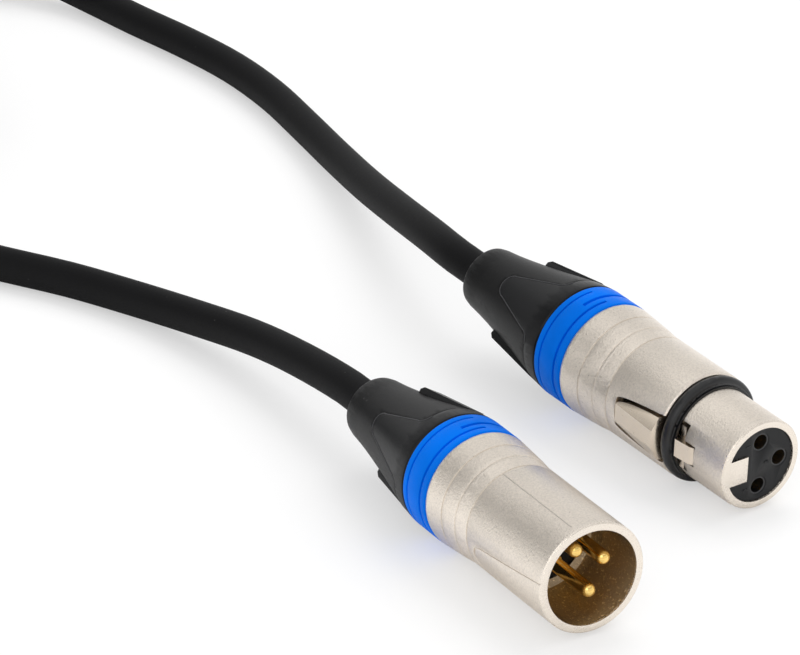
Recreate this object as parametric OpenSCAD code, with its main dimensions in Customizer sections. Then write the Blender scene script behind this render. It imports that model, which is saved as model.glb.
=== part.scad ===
// Three-pole microphone cable: a male and a female plug on one cord, the spare cord wound into a tied coil.
// Millimetres, +Z up. The plugs lie on the plane Z = 0.
// The origin is at the bottom centre of the two plugs.
// Inside a plug, "depth" runs from the mating face back towards the cord.
// Its local +Z is the side of the latch.

/* [Shells] */
// Outside diameter of both metal shells
shell_d = 19; // [18.6:0.1:19.6]
// Bore of the male cup
mouth_d = 16.3; // [16.1:0.1:16.6]
// Depth of the male cup
cup_depth = 13.3; // [12.5:0.1:14]
// Male mating face to its coding ring
male_length = 33.9; // [33:0.1:36]
// Diameter of the female nose
nose_d = 15.9; // [15.7:0.1:16]
// Female mating face to its seal
nose_length = 12.2; // [12:0.1:12.6]
// Female mating face to its coding ring
female_length = 40.7; // [40.4:0.1:44]
// Length of the flared rear end of a shell
flare_length = 9; // [8:0.1:9.5]
// Radial rise of the flare
flare_rise = 0.75; // [0.5:0.05:0.8]
// Wall of the shell's rear bore
rear_wall = 1.4; // [1.2:0.1:1.6]
// Width of the fine turned lines on a flare
line_w = 0.25; // [0.15:0.05:0.4]
// Depth of those lines
line_depth = 0.08; // [0.04:0.01:0.15]
// Width of the groove round the latch channel, and of the coding ring's rear groove
groove_w = 0.35; // [0.2:0.05:0.5]
// Depth of the groove round the latch channel
groove_depth = 0.15; // [0.1:0.05:0.25]

/* [Contacts] */
// Diameter of a pin
pin_d = 2.4; // [2.3:0.1:2.5]
// Diameter of the circle that the contacts stand on
contact_circle_d = 8.12; // [7.9:0.02:8.3]
// Mating face to the tips of the pins
pin_tip_depth = 2; // [1.5:0.1:3]
// Diameter of the pin's root inside the insert
pin_root_d = 3; // [2.8:0.1:3.2]
// Outside diameter of a socket contact
contact_d = 3.4; // [3.2:0.1:3.6]
// Entry hole of a socket in the insert
entry_d = 2.8; // [2.7:0.1:3]
// Length of a socket contact's bore
contact_bore = 11; // [10:0.1:12]
// Diameter of a solder cup
cup_d = 2.7; // [2.5:0.1:2.9]
// Length of a solder cup
cup_length = 4; // [3:0.1:5]

/* [Inserts] */
// Diameter of the insert's face
insert_face_d = 13.2; // [12.9:0.1:13.4]
// Depth of the insert's face below the female rim
face_recess = 0.3; // [0.2:0.05:0.5]
// Thickness of the ledge that stops the male insert
ledge = 1.5; // [1.2:0.1:2]
// Length of the male insert behind the ledge
male_insert_length = 5.2; // [4.5:0.1:6]
// Face to the flange of the female insert
flange_depth = 24.5; // [24:0.1:25]
// Thickness of the female insert's flange
flange_w = 3; // [2.5:0.1:3.2]
// Width of the polarising key
key_w = 4.6; // [4.4:0.1:4.8]
// Distance of the key's tip from the axis
key_reach = 2.7; // [2.5:0.1:2.9]
// Length of the key
key_length = 7; // [6:0.1:7.2]
// Play between pieces that seat in each other
seat_gap = 0.1; // [0.05:0.01:0.15]

/* [Latch] */
// Mating face to the front of the latch's hook
hook_depth = 7.9; // [7.8:0.1:8.2]
// Width of the hook and of the lever's web
lever_w = 3.2; // [3:0.1:3.4]
// Play beside the lever
lever_play = 0.3; // [0.25:0.05:0.4]
// Width of the lever's side wings
wing_w = 7.8; // [7.4:0.1:8]
// Width of the press tab at its front
tab_w = 8; // [7.6:0.1:8.2]
// Length of the press tab
tab_length = 11.1; // [10.8:0.1:11.3]
// Height of the press tab above the axis
tab_height = 10.1; // [9.9:0.05:10.2]
// Width of the flat facet on top of the tab
tab_facet_w = 3.2; // [2.8:0.1:3.6]
// Rear of the female insert to the latch pivot
pivot_margin = 1.5; // [1.4:0.1:2]
// Height of the latch pivot above the axis
pivot_height = 6.4; // [6.2:0.1:6.5]
// Diameter of the pivot pin
pivot_d = 1.2; // [1:0.1:1.3]
// Running clearance of the pivot, on the radius
pivot_play = 0.05; // [0.03:0.01:0.08]

/* [Seal] */
// Width of the sealing ring
seal_w = 2.7; // [2.4:0.1:3]
// Diameter of the sealing ring
seal_d = 18.9; // [18.6:0.1:19.3]

/* [Coding ring and gland nut] */
// Diameter of the coding ring
ring_d = 20.6; // [20.4:0.1:20.8]
// Width of the coding ring
ring_w = 7.1; // [6.5:0.1:7.5]
// Width of the coding ring's front groove
coding_groove_w = 0.5; // [0.4:0.05:0.7]
// Length of the gland nut's full collar
collar_length = 3.2; // [3:0.1:3.8]
// Length of the threaded spigot in front of the coding ring
spigot_reach = 3.4; // [3:0.1:4]
// Wall of the spigot
spigot_wall = 1.1; // [1:0.1:1.3]
// Length of a gland nut's tongues and grip lugs behind the collar
finger_length = 12.9; // [11.5:0.1:13.5]
// Width of a tongue at its base
tongue_w = 9.5; // [9:0.1:10]
// Width of a tongue near its tip
tongue_tip_w = 4.2; // [3.8:0.1:4.6]
// Depth to which the tongues and lugs are set in the boot
inlay = 0.9; // [0.8:0.1:1]
// Width of a grip lug
lug_w = 3.6; // [3.2:0.1:4]
// Height of a grip lug's rear end above the boot
lug_rise = 1.1; // [0.9:0.1:1.4]
// Width of the slots beside a grip lug
lug_slot_w = 0.6; // [0.5:0.05:0.8]
// Seam between the hard and soft parts of the boot
seam_gap = 0.1; // [0.05:0.01:0.15]

/* [Boot] */
// Length of a boot and its collar behind the coding ring
boot_length = 27.2; // [24:0.1:28]
// Diameter of the boot at its rear shoulder
boot_end_d = 11.6; // [11.4:0.1:12.6]

/* [Cord] */
// Diameter of the cord
cord_d = 6.3; // [5.8:0.1:6.4]
// Diameter of one insulated core
core_d = 1.5; // [1.3:0.1:1.6]
// Radius of the coil's outermost turn
coil_r = 47; // [46:0.5:48]
// Step between neighbouring turns
turn_step = 7; // [6.9:0.1:7.2]
// Step between layers
layer_step = 6.8; // [6.7:0.1:7]
// Whole turns in the coil
whole_turns = 10; // [8:2:10]
// Width of the tie's strap
tie_w = 14; // [10:1:18]
// Thickness of the tie's strap
tie_t = 1.1; // [0.8:0.1:1.3]

/* [Hidden] */
$fn = 64;

nickel = "#c9c3ba";
bright = "#d8d3cb";
gold = "#d4a64a";
black = "#1c1c1e";
rubber = "#232426";
blue = "#0a5cdc";

shell_r = shell_d / 2;
mouth_r = mouth_d / 2;
nose_r = nose_d / 2;
flare_r = shell_r + flare_rise;
rear_r = shell_r - rear_wall;
neck_r = rear_r + 0.8;
neck_length = ring_w - 0.7;
ring_r = ring_d / 2;
face_r = insert_face_d / 2;
contact_r = contact_circle_d / 2;
cord_r = cord_d / 2;
spigot_r = rear_r - seat_gap;
spigot_bore_r = spigot_r - spigot_wall;
seat_depth = nose_length + seal_w;
pivot_depth = flange_depth + flange_w + pivot_margin;
boot_end_r = boot_end_d / 2;
chamfer = 0.25;

// Angles of contacts 1, 2 and 3 about the axis, counted from the latch side: the plugs mirror each other
male_angles = [90, -90, 180];
female_angles = [-90, 90, 180];
ground_angle = 225;

// Angle from the latch side of the first tongue of each gland nut,
// and of the middle groove in each coding ring
male_tongue = -50;
female_tongue = -48;
male_window = -149;
female_window = -122;
tongue_count = 2;

// Where the mating faces lie, and how each plug is turned about its own axis
male_x = 48;
male_y = -22.4;
male_roll = 108;
male_dip = 0;
male_heading = -1.1;
female_x = 27.3;
female_y = 23.6;
female_roll = 90.4;
female_dip = 3.8;
female_heading = 4.5;

// Height of a mating face's centre when the circles given as [depth, radius] rest on Z = 0
function rest_height(dip, circles) = max([for (c = circles) c[1] * cos(dip) - c[0] * sin(dip)]);
male_z = rest_height(male_dip, [[0, shell_r], [male_length, ring_r]]);
female_z = rest_height(female_dip, [
    [0, nose_r], [nose_length + seal_w / 2, seal_d / 2], [seat_depth, shell_r], [female_length, ring_r]
]);

// ---------- placing and turning ----------

module as_male() translate([male_x, male_y, male_z]) rotate([0, male_dip, male_heading])
    rotate([male_roll, 0, 0]) children();

module as_female() translate([female_x, female_y, female_z]) rotate([0, female_dip, female_heading])
    rotate([female_roll, 0, 0]) children();

// Revolves a profile of [radius, depth] points about the plug's axis
module turned(profile) rotate([0, -90, 0]) rotate_extrude() polygon(profile);

module rod(depth_a, depth_b, r) translate([-depth_b, 0, 0]) rotate([0, 90, 0])
    cylinder(h = depth_b - depth_a, r = r);

module slab(depth_a, depth_b, half_w, low, high) translate([-depth_b, -half_w, low])
    cube([depth_b - depth_a, 2 * half_w, high - low]);

// Extrudes a side view of [depth, height] points across the plug
module side_cut(profile, width) rotate([90, 0, 0]) translate([0, 0, -width / 2]) linear_extrude(width)
    polygon([for (p = profile) [-p[0], p[1]]]);

// Extrudes a plan of [depth, sideways] points upwards
module plan_cut(profile, low, high) translate([0, 0, low]) linear_extrude(high - low)
    polygon([for (p = profile) [-p[0], p[1]]]);

module at_angle(a) rotate([a, 0, 0]) children();

// Moves a contact's pieces from the axis to its place, counted from the latch side
module at_contact(a) at_angle(a) translate([0, 0, contact_r]) children();

// ---------- shells ----------

// Small step where the flare begins
flare_step = 0.06;

// Outline of a shell from its front land back to the neck behind the coding ring
function rear_outline(length) = [
    [shell_r, length - flare_length],
    [shell_r + flare_step, length - flare_length + 0.2],
    for (part = [0.72, 0.5, 0.28]) [flare_radius(part * flare_length), length - part * flare_length],
    [flare_r, length - 0.5],
    [flare_r - 0.15, length],
    [neck_r, length],
    [neck_r, length + neck_length],
    [0, length + neck_length]
];

function flare_radius(back) = back > flare_length ? shell_r
    : shell_r + flare_step + (flare_rise - flare_step) * pow(1 - back / flare_length, 0.75);

// Fine lines on and in front of the flare, each at its distance in front of the coding ring
module flare_lines(length) {
    for (back = [0.52 * flare_length, 0.92 * flare_length, 1.3 * flare_length])
        turned([
            [flare_radius(back) - line_depth, length - back - line_w / 2],
            [shell_r + 2, length - back - line_w / 2],
            [shell_r + 2, length - back + line_w / 2],
            [flare_radius(back) - line_depth, length - back + line_w / 2]
        ]);
}

// Tapered U that marks the latch channel on top of the male shell
function channel_plan(grow) = concat(
    [[-1, 4.4 + grow]],
    [for (a = [90:-15:-90]) [18 + (2.3 + grow) * cos(a), (2.3 + grow) * sin(a)]],
    [[-1, -4.4 - grow]]
);

module male_shell() color(nickel) as_male() difference() {
    turned(concat([[0, 0], [shell_r - chamfer, 0], [shell_r, chamfer]], rear_outline(male_length)));
    rod(-1, cup_depth, mouth_r);
    rod(0, male_length, face_r);
    rod(cup_depth + ledge, male_length + ring_w, rear_r);
    flare_lines(male_length);
    difference() {
        plan_cut(channel_plan(groove_w / 2), shell_r - 2, shell_r + 1);
        plan_cut(channel_plan(-groove_w / 2), shell_r - 3, shell_r + 2);
        rod(-2, male_length, shell_r - groove_depth);
    }
}

window_floor = 4.4;
channel_floor = 4.9;
slot_floor = 5.9;
lever_slot = lever_w / 2 + lever_play;
wing_slot = wing_w / 2 + 0.5;
wing_front = hook_depth + 2.9;
wing_rear = nose_length - 0.2;
tab_front = seat_depth + 0.3;
tab_rear = tab_front + tab_length;
slot_w = tab_w + 0.8;
slot_end_w = tab_facet_w + 1.6;
slot_rear = tab_rear + 0.3;

// Plan of the tab or of its slot: widest in front, drawn in along a curve, and blunt towards the cord
function blunt_side(front, rear, width, end_w, side) = [
    for (t = [1:-0.125:0]) [rear - (rear - front) * t * t, side * (end_w + (width - end_w) * t) / 2]
];
function blunt_plan(front, rear, width, end_w) = concat(
    blunt_side(front, rear, width, end_w, 1),
    reversed(blunt_side(front, rear, width, end_w, -1))
);

module latch_opening() {
    slab(hook_depth - 0.3, seat_depth + 0.5, lever_slot, window_floor, shell_r + 1);
    slab(wing_front - 0.5, nose_length + 0.3, wing_slot, window_floor, shell_r + 1);
    plan_cut(blunt_plan(seat_depth, slot_rear, slot_w, slot_end_w), slot_floor, shell_r + 2);
    slab(nose_length, seat_depth + 1, slot_w / 2, slot_floor, shell_r + 1);
    slab(seat_depth, slot_rear, lever_slot, channel_floor, shell_r);
}

module female_shell() color(nickel) as_female() {
    difference() {
        turned(concat(
            [[0, 0], [nose_r - chamfer, 0], [nose_r, chamfer], [nose_r, seat_depth],
             [shell_r - chamfer, seat_depth], [shell_r, seat_depth + chamfer]],
            rear_outline(female_length)
        ));
        difference() {
            rod(-1, flange_depth, face_r + seat_gap);
            slab(-2, key_length, key_w / 2, key_reach, nose_r);
        }
        rod(flange_depth, female_length + ring_w, rear_r);
        flare_lines(female_length);
        latch_opening();
        translate([-pivot_depth, 0, pivot_height]) rotate([90, 0, 0])
            cylinder(h = 2 * pin_half, r = pivot_d / 2, center = true);
    }
    for (side = [0, 1]) at_angle(43 + 5 * side)
        slab(0.6, nose_length - 0.6, 0.18, nose_r - 0.3, nose_r + 0.15);
}

// ---------- inserts and contacts ----------

module male_insert() color(black) as_male() difference() {
    union() {
        rod(cup_depth + 0.1, cup_depth + ledge + seat_gap, face_r - seat_gap);
        rod(cup_depth + ledge, cup_depth + ledge + male_insert_length, rear_r - seat_gap);
    }
    for (a = male_angles) at_contact(a) rod(cup_depth, cup_depth + 10, pin_root_d / 2 + 0.02);
    at_angle(ground_angle) slab(cup_depth + 3, cup_depth + 10, 1.1, 4.4, 5);
}

male_cup_depth = cup_depth + ledge + male_insert_length;
female_cup_depth = flange_depth + flange_w;

// Solder cup at the rear end of a contact, open towards the cord
module solder_cup(depth) difference() {
    rod(depth, depth + cup_length, cup_d / 2);
    rod(depth + 0.8, depth + cup_length + 1, cup_d / 2 - 0.45);
}

module male_pin(a) color(gold) as_male() at_contact(a) {
    translate([-pin_tip_depth - pin_d / 2, 0, 0]) sphere(r = pin_d / 2);
    rod(pin_tip_depth + pin_d / 2, cup_depth + 0.2, pin_d / 2);
    rod(cup_depth + 0.1, male_cup_depth, pin_root_d / 2);
    solder_cup(male_cup_depth);
}

contact_front = 3;

module female_insert() color(black) as_female() difference() {
    union() {
        rod(face_recess, flange_depth, face_r);
        rod(flange_depth + seat_gap, female_cup_depth, rear_r - seat_gap);
        rod(flange_depth - 0.1, flange_depth + seat_gap + 0.1, face_r);
    }
    slab(-1, key_length + 0.2, key_w / 2 + seat_gap, key_reach - seat_gap, nose_r);
    slab(key_length, female_cup_depth + 1, lever_slot + 0.3, channel_floor, nose_r + 1);
    slab(wing_front - 0.7, seat_depth + 0.2, wing_slot + 0.2, window_floor - 0.2, nose_r + 1);
    plan_cut(blunt_plan(seat_depth, slot_rear, slot_w, slot_end_w), slot_floor - 0.1, nose_r + 1);
    for (a = female_angles) at_contact(a) {
        turned([
            [0, 0], [entry_d / 2 + 0.3, 0],
            [entry_d / 2 + 0.3, face_recess], [entry_d / 2, face_recess + 0.3],
            [entry_d / 2, contact_front], [0, contact_front]
        ]);
        rod(contact_front - 0.05, female_cup_depth + 1, contact_d / 2 + 0.02);
    }
    at_angle(ground_angle) slab(flange_depth - 2, female_cup_depth + 1, 1.1, 4.4, 5);
}

module female_contact(a) color(gold) as_female() at_contact(a) {
    difference() {
        rod(contact_front, female_cup_depth, contact_d / 2);
        rod(contact_front - 1, contact_front + contact_bore, pin_d / 2);
        slab(contact_front - 1, contact_front + contact_bore - 3, 0.2, 0, contact_d);
    }
    solder_cup(female_cup_depth);
}

// Earth tab: a flat blade with an eye behind the insert and a foot that bears on the shell
module ground_tab(front, rear) at_angle(ground_angle) difference() {
    union() {
        slab(front, rear + 4.5, 1.05, 4.45, 4.95);
        slab(rear + 0.3, rear + 1, 1.05, 4.45, rear_r - seat_gap);
    }
    translate([-rear - 3, 0, 0]) cylinder(h = 12, r = 0.55);
}

// ---------- latch ----------

pin_half = sqrt(pow(rear_r, 2) - pow(pivot_height, 2)) + 0.5;
web_top = 7.2;
web_low = 6.3;
tab_low = web_top - 0.2;

// The facet on top of the tab rises from the shell's surface towards the ramp at its front.
// A flank slopes down on either side of it.
tab_ramp = 2.4;
tab_end_height = shell_r + 0.1;
facet_rise = atan((tab_height - tab_end_height) / (tab_length - tab_ramp));
flank_slope = 28;

// Everything above one flank of the tab
module flank_cut() translate([-tab_front - tab_ramp, tab_facet_w / 2, tab_height])
    rotate([0, -facet_rise, 0]) rotate([-flank_slope, 0, 0]) translate([-2 * tab_length, 0, 0])
    cube([3 * tab_length, tab_w, tab_w]);

module latch_tab() difference() {
    intersection() {
        plan_cut(blunt_plan(tab_front, tab_rear, tab_w, tab_facet_w), tab_low, tab_height + 1);
        side_cut([
            [tab_front, tab_low], [tab_front + 0.3, tab_height - 1.6], [tab_front + tab_ramp, tab_height],
            [tab_rear, tab_end_height], [tab_rear, tab_low]
        ], tab_w);
    }
    flank_cut();
    mirror([0, 1, 0]) flank_cut();
}

module female_latch() color(bright) as_female() difference() {
    union() {
        side_cut([
            [hook_depth, web_low], [hook_depth, nose_r - 0.25], [hook_depth + 0.8, nose_r + 0.15],
            [wing_rear, nose_r + 0.45], [wing_rear + 0.1, web_top], [tab_front + 1, web_top],
            [tab_rear - 1, web_top], [pivot_depth - 0.5, pivot_height + 1], [pivot_depth, pivot_height - 1],
            [tab_rear - 2, web_low - 0.4], [tab_front, web_low]
        ], lever_w);
        slab(wing_front, wing_rear, wing_w / 2, web_low - 0.3, web_top - 0.1);
        latch_tab();
        translate([-pivot_depth, 0, pivot_height]) rotate([90, 0, 0])
            cylinder(h = lever_w, r = 1.1, center = true);
    }
    translate([-pivot_depth, 0, pivot_height]) rotate([90, 0, 0])
        cylinder(h = lever_w + 1, r = pivot_d / 2 + pivot_play, center = true);
}

module female_latch_pin() color("silver") as_female() translate([-pivot_depth, 0, pivot_height])
    rotate([90, 0, 0]) cylinder(h = 2 * pin_half - 0.1, r = pivot_d / 2 - 0.01, center = true);

// Bent leaf that pushes the lever outwards: its foot lies in the channel and its nose under the lever
module female_latch_spring() color("silver") as_female() {
    foot = flange_depth - 0.5;
    bend = flange_depth - 4.5;
    rise = tab_front + 2.8;
    nose = tab_front - 0.4;
    side_cut([
        [foot, channel_floor + 0.02], [bend, channel_floor + 0.02], [rise, channel_floor + 0.3],
        [nose + 0.6, web_low - 0.35], [nose, web_low - 0.3], [nose, web_low - 0.05],
        [nose + 0.8, web_low - 0.08], [rise + 0.2, channel_floor + 0.6],
        [bend + 0.2, channel_floor + 0.27], [foot, channel_floor + 0.27]
    ], lever_w - 0.4);
}

// ---------- seal, coding rings and gland ----------

window_half = 30;

// Sealing ring with a thick bead and a thin front lip
module female_seal() color("#151515") as_female() turned(concat(
    [[nose_r, seat_depth]],
    [for (a = [0:15:180]) [
        nose_r + 0.35 + (seal_d / 2 - nose_r - 0.35) * pow(sin(a), 0.7),
        seat_depth - (seal_w - 0.5) * (1 - cos(a)) / 2
    ]],
    [[nose_r + 0.45, nose_length + 0.4], [nose_r + 0.4, nose_length], [nose_r, nose_length]]
));

// Groove round part of a coding ring, between two angles counted from the latch side
module arc_groove(depth, width, deep, from, to) at_angle(to) rotate([0, -90, 0])
    rotate_extrude(angle = to - from) polygon([
        [ring_r - deep, depth - width / 2], [ring_r + 1, depth - width / 2],
        [ring_r + 1, depth + width / 2], [ring_r - deep, depth + width / 2]
    ]);

// Two long grooves that stop at the window, and a deeper one across it
module coding_ring(length, window) difference() {
    turned([
        [neck_r + seat_gap, length], [ring_r - 0.3, length], [ring_r, length + 0.3],
        [ring_r, length + ring_w - 0.3], [ring_r - 0.3, length + ring_w], [neck_r + seat_gap, length + ring_w]
    ]);
    arc_groove(length + 1.7, coding_groove_w, 0.4, window + window_half, window - window_half + 360);
    arc_groove(length + ring_w - 1.5, groove_w, 0.3, window + window_half, window - window_half + 360);
    middle_half = window_half + 20;
    arc_groove(length + 3.3, coding_groove_w + 0.2, 0.45, window - middle_half, window + middle_half);
}

// Radius of the boot's cone at a distance behind the collar
cone_start_r = ring_r - 0.4;
cone_length = boot_length - 2 - collar_length;
function cone_radius(back) =
    boot_end_r + (cone_start_r - boot_end_r) * pow(1 - min(1, back / cone_length), 1.2);

// Profile of the cone from the collar back, drawn in by inset
function cone_outline(start, inset) =
    [for (i = [0:8]) let (back = cone_length * i / 8) [cone_radius(back) - inset, start + back]];

// Profile of the boot's outside from the collar to the rear shoulder
function boot_outline(start) = concat(cone_outline(start, 0), [
    [boot_end_r - 0.25, start + cone_length + 1.1],
    [boot_end_r - 1, start + cone_length + 1.8],
    [boot_end_r - 1.4, start + cone_length + 2]
]);

// Tongue in plan: a filleted base on the collar, straight flanks and a round tip towards the cord
tongue_fillet = 1.8;
tongue_tip_l = 1.9;
function tongue_side(start, side, grow) = [for (a = [0:15:90]) [
    start + tongue_fillet * (1 - cos(a)),
    side * (tongue_w / 2 + grow + tongue_fillet * (1 - sin(a)))
]];
function reversed(v) = [for (i = [len(v) - 1:-1:0]) v[i]];
function tongue_plan(start, grow) = concat(
    [[start - 1, tongue_w / 2 + tongue_fillet]],
    tongue_side(start, 1, grow),
    [for (a = [0:15:180]) [
        start + finger_length + grow - tongue_tip_l * (1 - sin(a)), (tongue_tip_w / 2 + grow) * cos(a)
    ]],
    reversed(tongue_side(start, -1, grow)),
    [[start - 1, -tongue_w / 2 - tongue_fillet]]
);

// Where the tongues stand, and the lugs half-way between them
module at_tongues(first) for (i = [0:tongue_count - 1]) at_angle(first + 360 / tongue_count * i) children();
module at_lugs(first) at_tongues(first + 180 / tongue_count) children();

// Blocks with the tongues' plan, which reach from the depth of the inlay to beyond the boot
module tongue_blocks(start, first, grow) difference() {
    at_tongues(first) plan_cut(tongue_plan(start, grow), 2, ring_r + 2);
    turned(concat(cone_outline(start, inlay), [[0, start + cone_length], [0, start]]));
}

module tongues(start, first) intersection() {
    turned(concat(cone_outline(start, 0), [[0, start + cone_length], [0, start]]));
    tongue_blocks(start, first, 0);
}

// Lugs run straight back from the collar while the cone falls away beside them
module lugs(start, first, grow) at_lugs(first) side_cut([
    [start - 0.01, cone_start_r - inlay], [start - 0.01, cone_start_r + grow],
    [start + finger_length - 0.8, cone_radius(finger_length) + lug_rise + grow],
    [start + finger_length + grow, cone_radius(finger_length) + lug_rise - 0.6],
    [start + finger_length + grow, cone_radius(finger_length) - inlay]
], lug_w + 2 * grow);

module gland_nut(length, first) {
    start = length + ring_w + collar_length;
    turned([
        [spigot_bore_r, length - spigot_reach], [spigot_r, length - spigot_reach],
        [spigot_r, length + ring_w],
        [ring_r - 0.25, length + ring_w], [ring_r - 0.05, length + ring_w + 0.25],
        [cone_start_r, start], [spigot_bore_r - 1.2, start], [spigot_bore_r, start - 3]
    ]);
    tongues(start, first);
    lugs(start, first, 0);
}

module boot(length, first) {
    start = length + ring_w + collar_length;
    end = length + ring_w + boot_length;
    slot_end = start + finger_length - 0.6;
    difference() {
        turned(concat(boot_outline(start), [[0, end], [0, start]]));
        turned([
            [0, start - 1], [spigot_bore_r - 1, start - 1], [spigot_bore_r - 1.2, start],
            [cord_r + 1.9, start + 6], [cord_r + seat_gap, start + 10], [cord_r + seat_gap, end + 1],
            [0, end + 1]
        ]);
        rod(start - 1, start + seam_gap, ring_r);
        tongue_blocks(start, first, seam_gap);
        lugs(start, first, seam_gap);
        at_lugs(first) for (side = [-1, 1]) translate([0, side * (lug_w + lug_slot_w) / 2, 0]) side_cut([
            [start - 1, cone_start_r - 1], [start - 1, ring_r + 1],
            [slot_end, ring_r + 1], [slot_end, cone_radius(finger_length)],
            [start + 0.6 * finger_length, cone_radius(0.6 * finger_length) - 0.9]
        ], lug_slot_w);
    }
}

// Split clamp round the cord inside the gland nut
module chuck(length) {
    front = length - spigot_reach - 1;
    rear = length + ring_w + collar_length + 5;
    difference() {
        turned([
            [cord_r + 1.2, front], [spigot_bore_r + 0.4, front], [spigot_bore_r + 0.4, front + 0.9],
            [spigot_bore_r - 0.3, front + 0.9], [spigot_bore_r - 0.4, rear - 8], [cord_r + 1.3, rear - 1],
            [cord_r + 0.9, rear], [cord_r + 0.05, rear], [cord_r + 0.05, front + 8], [cord_r + 1.2, front + 5]
        ]);
        for (a = [45, 135]) at_angle(a) slab(front + 6, rear + 1, 0.5, -ring_r, ring_r);
    }
}

// The cord's jacket inside the plug, ending in front of the chuck
module jacket_end(length) rod(length - 3, length + ring_w + boot_length, cord_r);

// One core from the jacket's end to its solder cup
module core(length, cup, a) {
    front = [-(cup + cup_length - 0.2), contact_r];
    rear = [-(length - 3 - 0.6 * core_d / 2), 1.3];
    slope = atan2(front[1] - rear[1], front[0] - rear[0]);
    run = norm(front - rear);
    at_angle(a) translate([rear[0], 0, rear[1]]) rotate([0, 90 - slope, 0]) cylinder(h = run, r = core_d / 2);
}

// ---------- cord ----------

function unit(v) = v / norm(v);
function lay(p) = [p[0], p[1], p[2] + cord_r];

// A point on a plug's axis at a depth, and the direction from it back along the axis
function behind(place, dip, heading) = [-cos(dip) * cos(heading), -cos(dip) * sin(heading), sin(dip)];
male_back = behind(0, male_dip, male_heading);
female_back = behind(0, female_dip, female_heading);
male_exit = [male_x, male_y, male_z] + male_back * (male_length + ring_w + boot_length);
female_exit = [female_x, female_y, female_z] + female_back * (female_length + ring_w + boot_length);

// Route points: along the surface, and the height of the cord's underside above it
female_points = [
    [-67.1, 18.9, 9.8], [-84.8, 22.8, 6.8], [-103, 27.2, 3.6], [-121.2, 31.5, 1.2], [-138.1, 34.7, 0.2],
    [-154, 36.8, 0], [-169.2, 37, 0], [-184.3, 35.2, 0], [-199.1, 32.5, 0], [-211.9, 30.1, 0.3],
    [-224.4, 25.1, 2.2], [-235.4, 15.6, 5.8], [-243.4, 1.2, 10.5], [-248, -15.9, 15.3], [-250, -33.3, 18.9]
];
male_points = [
    [-153.8, -68.9, 0], [-142.8, -58.9, 0], [-128.8, -49.4, 0], [-114.3, -41.2, 0], [-102.3, -34, 0],
    [-88.3, -28, 0.4], [-73.4, -24, 1.8], [-58.9, -21.6, 3.7], [-44.2, -20.9, 5.6]
];

coil_x = -205.3;
coil_y = -62.9;
coil_start = 172;
coil_end = 330;
layers = 4;
coil_sweep = 360 * whole_turns + coil_end - coil_start;
layer_sweep = coil_sweep / layers;
rings_per_turn = 24;
coil_sides = 6;
lead_sides = 10;

tie_angle = 40;
tie_lift = tie_t + 0.3;

// The coil lies on the tie's strap here and on the surface elsewhere
function smooth(t) = t <= 0 ? 0 : t >= 1 ? 1 : t * t * (3 - 2 * t);
function angle_off(a) = abs((a - tie_angle + 900) % 360 - 180);
function lift(a) = tie_lift * (1 - smooth((angle_off(a) - 20) / 35));

// Radius: in and out again at a steady rate, reversing in the middle of each climb
function triangle(s) = abs(s % 2 - (s % 2 > 1 ? 2 : 0));
function turn_radius(sweep) = coil_r - turn_step * layer_sweep / 360 * triangle(sweep / layer_sweep);

// Height: each layer is level, and the half turn round each reversal climbs to the next
function layer_height(sweep) = layer_step * sum_steps(sweep, 1);
function sum_steps(sweep, n) = n >= layers ? 0
    : smooth((sweep - n * layer_sweep + 90) / 180) + sum_steps(sweep, n + 1);

function coil_point(sweep) = let (a = coil_start + sweep, r = turn_radius(sweep)) [
    coil_x + r * cos(a),
    coil_y + r * sin(a),
    cord_r + layer_step * (layers - 1) - layer_height(sweep) + lift(a)
];
function tangent_at(a) = [-sin(a), cos(a), 0];

coil_rings = round(coil_sweep / 360 * rings_per_turn);
coil_turns = [for (i = [0:coil_rings]) coil_point(coil_sweep * i / coil_rings)];
coil_first = coil_turns[0] - cord_d * tangent_at(coil_start);
coil_last = coil_turns[coil_rings] + cord_d * tangent_at(coil_end);
coil_path = concat([coil_first], coil_turns, [coil_last]);

female_path = concat([female_exit, female_exit + 8 * female_back],
    [for (p = female_points) lay(p)], [coil_first]);
male_path = concat([coil_last], [for (p = male_points) lay(p)], [male_exit + 8 * male_back, male_exit]);

// Sweeps a round section along a path, with its two end faces square to the given directions
function directions(path, first, last) = [for (i = [0:len(path) - 1])
    i == 0 ? unit(first) : i == len(path) - 1 ? unit(last) : unit(path[i + 1] - path[i - 1])];

module tube(path, first, last, sides) {
    n = len(path);
    dirs = directions(path, first, last);
    rings = [for (i = [0:n - 1])
        let (w = dirs[i], u = unit(cross([0, 0, 1], w)), v = cross(w, u))
        [for (k = [0:sides - 1]) path[i] + cord_r * (cos(360 * k / sides) * u + sin(360 * k / sides) * v)]];
    points = concat([for (ring = rings) each ring], [path[0], path[n - 1]]);
    walls = [for (i = [0:n - 2], k = [0:sides - 1])
        let (a = i * sides + k, b = i * sides + (k + 1) % sides)
        each [[a, a + sides, b + sides], [a, b + sides, b]]];
    caps = [for (k = [0:sides - 1])
        let (next = (k + 1) % sides, tail = (n - 1) * sides)
        each [[n * sides, k, next], [n * sides + 1, tail + next, tail + k]]];
    polyhedron(points = points, faces = concat(walls, caps));
}

// Least distance between turns, measured on the ring centres and on the points between them
fine_path = [for (i = [0:2 * coil_rings]) coil_point(coil_sweep * i / coil_rings / 2)];
self_gap = min([for (i = [0:len(fine_path) - 1 - rings_per_turn], j = [i + rings_per_turn:len(fine_path) - 1])
    norm(fine_path[i] - fine_path[j])]) - cord_d;
cord_length = path_length(female_path) + path_length(coil_path) + path_length(male_path);
function path_length(path) = sum([for (i = [1:len(path) - 1]) norm(path[i] - path[i - 1])]);
function sum(v, i = 0) = i >= len(v) ? 0 : v[i] + sum(v, i + 1);
echo(coil_self_gap = self_gap, cord_length = cord_length);

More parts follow.
